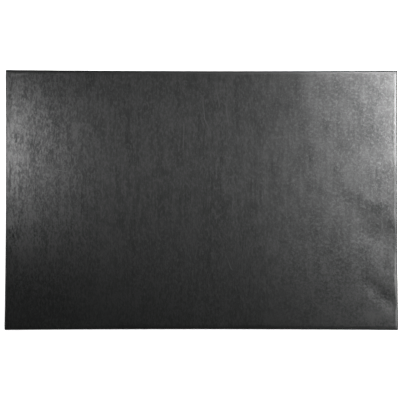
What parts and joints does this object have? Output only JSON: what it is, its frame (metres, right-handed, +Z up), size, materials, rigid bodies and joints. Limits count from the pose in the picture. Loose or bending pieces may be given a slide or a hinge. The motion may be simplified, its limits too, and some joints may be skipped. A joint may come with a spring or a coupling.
{
  "type": "desk mat",
  "caption": "Flat rectangular leather desk mat with sharp corners, a padded field, a narrow stitched margin, turned edges and a non-slip backing.",
  "frame": {"origin": "middle of the underside, on the surface that the mat lies on", "axes": "+X along the long side to the user's right, +Y away from the user, +Z up through the mat"},
  "size_m": [0.6, 0.397, 0.0041],
  "materials": {
    "leather": "satin black, fine embossed grain",
    "thread": "matt black twisted polyester",
    "backing": "matt charcoal non-slip microfibre",
    "foam": "matt grey closed-cell foam",
    "board": "matt brown fibreboard",
    "filler": "matt grey-brown card",
    "adhesive": "satin pale amber film"
  },
  "bodies": {
    "root": {"leather_cover": "leather", "upper_thread": "thread", "cover_adhesive": "adhesive", "padding_sheet": "foam", "padding_adhesive": "adhesive", "stiffener_board": "board", "hem_tape_front": "adhesive", "hem_tape_back": "adhesive", "hem_tape_left": "adhesive", "hem_tape_right": "adhesive", "filler_adhesive": "adhesive", "filler_sheet": "filler", "backing_adhesive": "adhesive", "backing_sheet": "backing", "lower_thread": "thread"}
  },
  "joints": []
}
